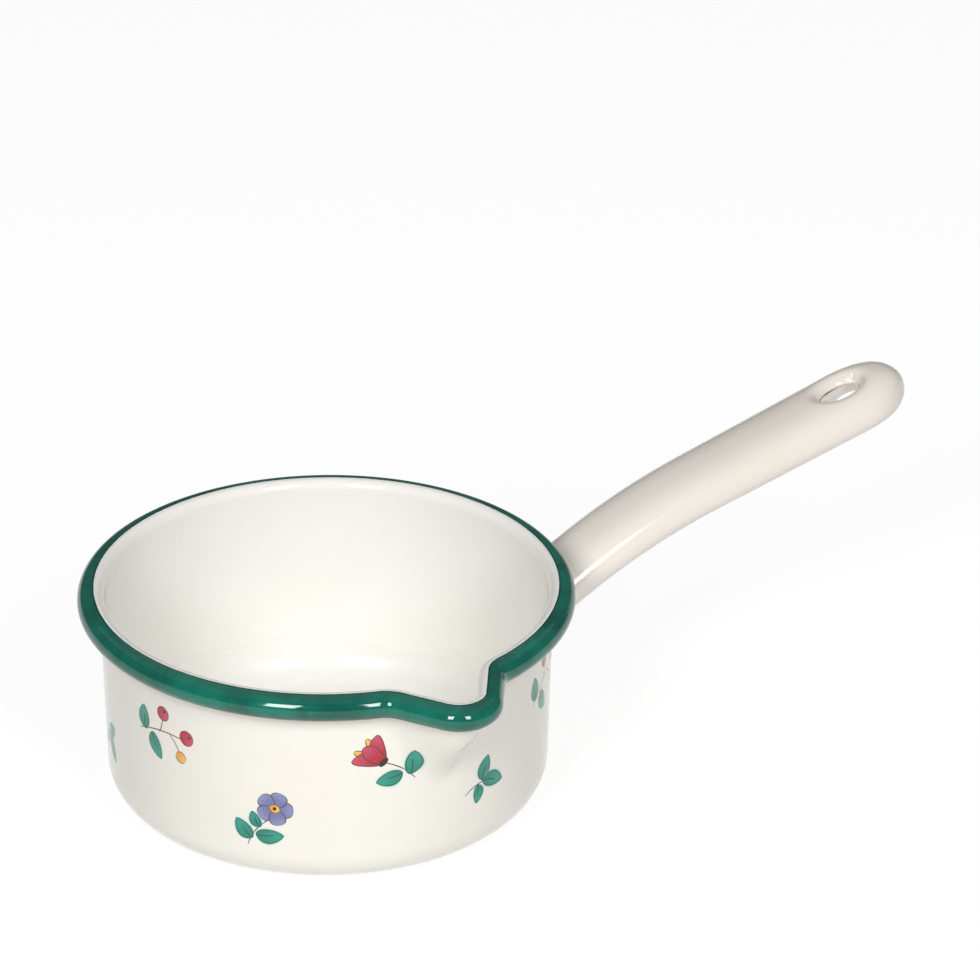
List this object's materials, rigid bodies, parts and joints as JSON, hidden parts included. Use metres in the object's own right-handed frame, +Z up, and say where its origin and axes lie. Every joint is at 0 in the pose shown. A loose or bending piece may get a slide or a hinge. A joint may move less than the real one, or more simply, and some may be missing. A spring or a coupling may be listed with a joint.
{
  "type": "enamelled saucepan",
  "caption": "Small cream enamelled saucepan with a green rolled rim, a pouring spout at the side and a rising hollow handle with a hanging hole.",
  "frame": {"origin": "middle of the pan's base, on the surface that it stands on", "axes": "+X along the handle, away from the pan; -Y towards the pouring spout; +Z up"},
  "size_m": [0.2465, 0.147, 0.0805],
  "materials": {
    "sheet_steel": "deep drawn sheet, hidden under the enamel",
    "lining_enamel": "glossy fired enamel",
    "body_enamel": "glossy fired enamel with small sprigs",
    "ground_enamel": "fired enamel, dulled where it stands on the hob",
    "rim_enamel": "glossy dark green fired enamel with soft edges",
    "handle_enamel": "pressed steel sheet with its glossy fired enamel",
    "weld_enamel": "weld fillet under glossy fired enamel"
  },
  "bodies": {
    "root": {"pan_body": "sheet_steel", "inside_enamel": "lining_enamel", "outside_enamel": "body_enamel", "base_enamel": "ground_enamel", "rim_enamel": "rim_enamel", "handle_upper_shell": "handle_enamel", "handle_lower_shell": "handle_enamel", "handle_weld": "weld_enamel"}
  },
  "joints": []
}
